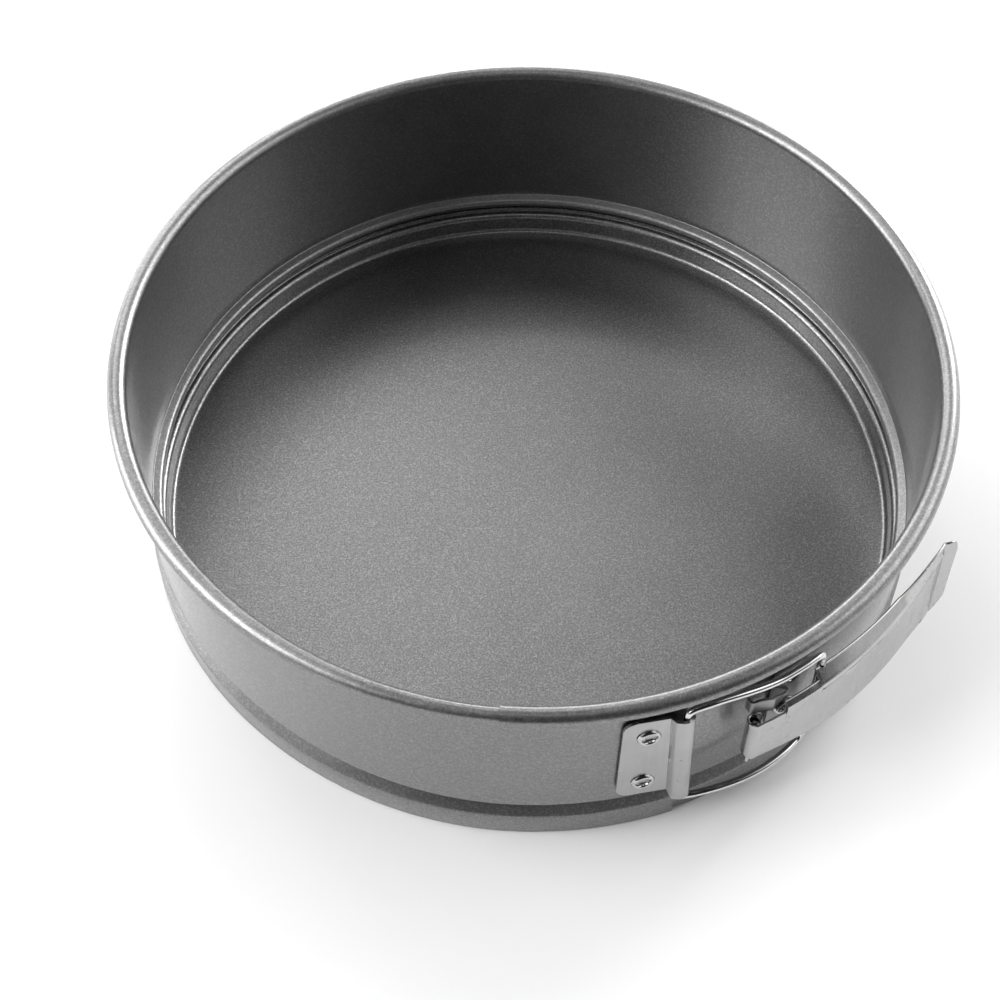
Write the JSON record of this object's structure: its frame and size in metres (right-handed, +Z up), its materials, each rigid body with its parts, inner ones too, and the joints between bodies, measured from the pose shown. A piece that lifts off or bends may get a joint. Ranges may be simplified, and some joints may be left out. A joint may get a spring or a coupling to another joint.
{
  "type": "springform pan",
  "caption": "Round springform cake pan: sprung band with a rolled rim, loose raised-edge base, and an over-centre lever latch with a wire bail that opens the band.",
  "frame": {"origin": "on the pan's axis, on the flat underside of the base plate", "axes": "+Z up along the pan's axis, out of its mouth; -Y towards the middle of the band's overlap, beside the latch; +X towards the lever's side"},
  "size_m": [0.2396, 0.2395, 0.068],
  "materials": {
    "coated_band": "speckled charcoal non-stick coating, satin",
    "coated_base": "speckled charcoal non-stick coating, satin",
    "plated_bracket": "bright plated pressed steel",
    "plated_lever": "bright plated pressed steel, lightly brushed",
    "plated_wire": "bright plated wire",
    "rivet_steel": "plated steel"
  },
  "bodies": {
    "base": {"base_plate": "coated_base"},
    "ring_rear": {"band_rear": "coated_band"},
    "ring_left": {"band_left": "coated_band", "catch_bracket": "plated_bracket", "catch_rivet_lower": "rivet_steel", "catch_rivet_upper": "rivet_steel"},
    "ring_right": {"band_right": "coated_band", "hinge_bracket": "plated_bracket", "hinge_rivet_lower": "rivet_steel", "hinge_rivet_upper": "rivet_steel", "hinge_pin": "rivet_steel"},
    "bail": {"wire_bail": "plated_wire"},
    "lever": {"latch_lever": "plated_lever"}
  },
  "joints": [
    {"name": "ring_lift", "type": "slide", "parent": "base", "child": "ring_rear", "axis": [0, 0, 1], "range_m": [0, 0.08]},
    {"name": "left_flex", "type": "hinge", "parent": "ring_rear", "child": "ring_left", "pos_m": [-0.1176, 0, 0], "axis": [0, 0, -1], "range_deg": [0, 3.75]},
    {"name": "right_flex", "type": "hinge", "parent": "ring_rear", "child": "ring_right", "pos_m": [0.1176, 0, 0], "axis": [0, 0, 1], "range_deg": [0, 3.75]},
    {"name": "bail_swing", "type": "hinge", "parent": "ring_left", "child": "bail", "pos_m": [0.02255, -0.11603, 0], "axis": [0, 0, -1], "range_deg": [0, 15.5]},
    {"name": "lever_swing", "type": "hinge", "parent": "ring_right", "child": "lever", "pos_m": [0.04257, -0.11326, 0], "axis": [0, 0, -1], "range_deg": [0, 150]}
  ],
  "couplings": [
    {"joint": "left_flex", "follows": "lever_swing", "ratio": 0.0248},
    {"joint": "right_flex", "follows": "lever_swing", "ratio": 0.0248},
    {"joint": "bail_swing", "follows": "lever_swing", "ratio": 0.1}
  ]
}
